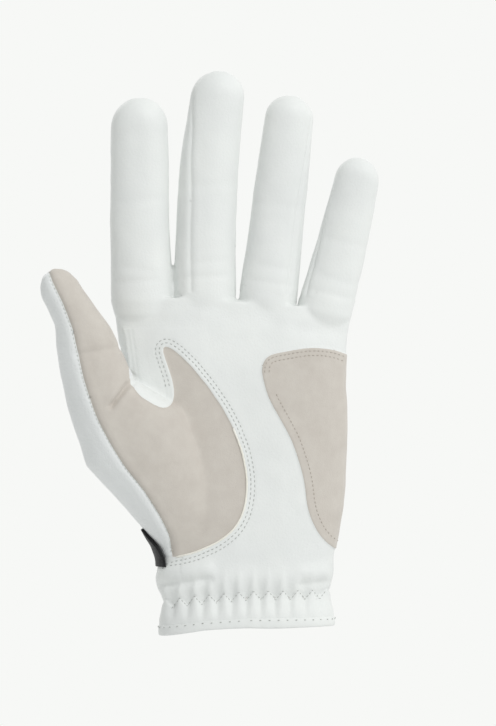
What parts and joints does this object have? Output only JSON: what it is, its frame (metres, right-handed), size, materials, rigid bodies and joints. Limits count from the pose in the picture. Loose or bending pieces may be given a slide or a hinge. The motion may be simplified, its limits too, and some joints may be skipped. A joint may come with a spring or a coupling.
{
  "type": "golf glove",
  "caption": "Left-hand sports glove with a leather palm, suede thumb and heel patches, seamed fingers, elasticated wrist and a hook-and-loop tab.",
  "frame": {"origin": "middle of the wrist opening, in the plane of the cuff edge", "axes": "+Z from the cuff to the fingertips, -Y out of the palm, -X towards the thumb"},
  "size_m": [0.1348, 0.0562, 0.2259],
  "materials": {
    "palm_leather": "fine-grained white glove leather",
    "back_leather": "fine-grained white glove leather",
    "thumb_leather": "white leather with fine dots",
    "palm_suede": "taupe microfibre suede",
    "knuckle_mesh": "black stretch mesh",
    "elastic": "woven elastic",
    "slit_trim": "black bias tape",
    "loop_pile": "white loop pile",
    "tab_fabric": "black bonded fabric",
    "hook_plastic": "nylon hook tape"
  },
  "bodies": {
    "hand": {"palm_panel": "palm_leather", "thenar_patch": "palm_suede", "heel_patch": "palm_suede", "thumb_side_panel": "thumb_leather", "back_panel": "back_leather", "knuckle_mesh": "knuckle_mesh", "index_middle_web": "palm_leather", "middle_ring_web": "palm_leather", "ring_little_web": "palm_leather", "elastic_band": "elastic", "cuff_binding": "palm_leather", "slit_binding": "slit_trim", "loop_patch": "loop_pile", "tab_anchor": "tab_fabric"},
    "index_finger": {"index_front": "palm_leather", "index_back": "back_leather", "index_fourchette": "palm_leather"},
    "middle_finger": {"middle_front": "palm_leather", "middle_back": "back_leather", "middle_fourchette_thumb_side": "palm_leather", "middle_fourchette_little_side": "palm_leather"},
    "ring_finger": {"ring_front": "palm_leather", "ring_back": "back_leather", "ring_fourchette_thumb_side": "palm_leather", "ring_fourchette_little_side": "palm_leather"},
    "little_finger": {"little_front": "palm_leather", "little_back": "back_leather", "little_fourchette": "palm_leather"},
    "thumb": {"thumb_front": "palm_suede", "thumb_back": "thumb_leather"},
    "closure_tab": {"closure_tab": "tab_fabric", "hook_patch": "hook_plastic"}
  },
  "joints": [
    {"name": "index_flex", "type": "hinge", "parent": "hand", "child": "index_finger", "pos_m": [-0.04333, -0.00014, 0.14699], "axis": [0.9998, 0, 0.0175], "range_deg": [-10, 70], "stiffness_Nm_per_rad": 0.02},
    {"name": "middle_flex", "type": "hinge", "parent": "hand", "child": "middle_finger", "pos_m": [-0.0169, -0.00011, 0.14755], "axis": [0.9981, 0, -0.061], "range_deg": [-10, 70], "stiffness_Nm_per_rad": 0.02},
    {"name": "ring_flex", "type": "hinge", "parent": "hand", "child": "ring_finger", "pos_m": [0.0094, -0.00013, 0.14743], "axis": [0.9936, 0, -0.1132], "range_deg": [-10, 70], "stiffness_Nm_per_rad": 0.02},
    {"name": "little_flex", "type": "hinge", "parent": "hand", "child": "little_finger", "pos_m": [0.03466, -0.00025, 0.14413], "axis": [0.9763, 0, -0.2164], "range_deg": [-10, 70], "stiffness_Nm_per_rad": 0.02},
    {"name": "thumb_flex", "type": "hinge", "parent": "hand", "child": "thumb", "pos_m": [-0.06292, -0.02016, 0.1084], "axis": [0.5948, 0.7088, 0.3792], "range_deg": [-8, 30], "stiffness_Nm_per_rad": 0.02},
    {"name": "tab_peel", "type": "hinge", "parent": "hand", "child": "closure_tab", "pos_m": [-0.03365, 0.01475, 0.0335], "axis": [0, 0, 1], "range_deg": [0, 120]}
  ]
}
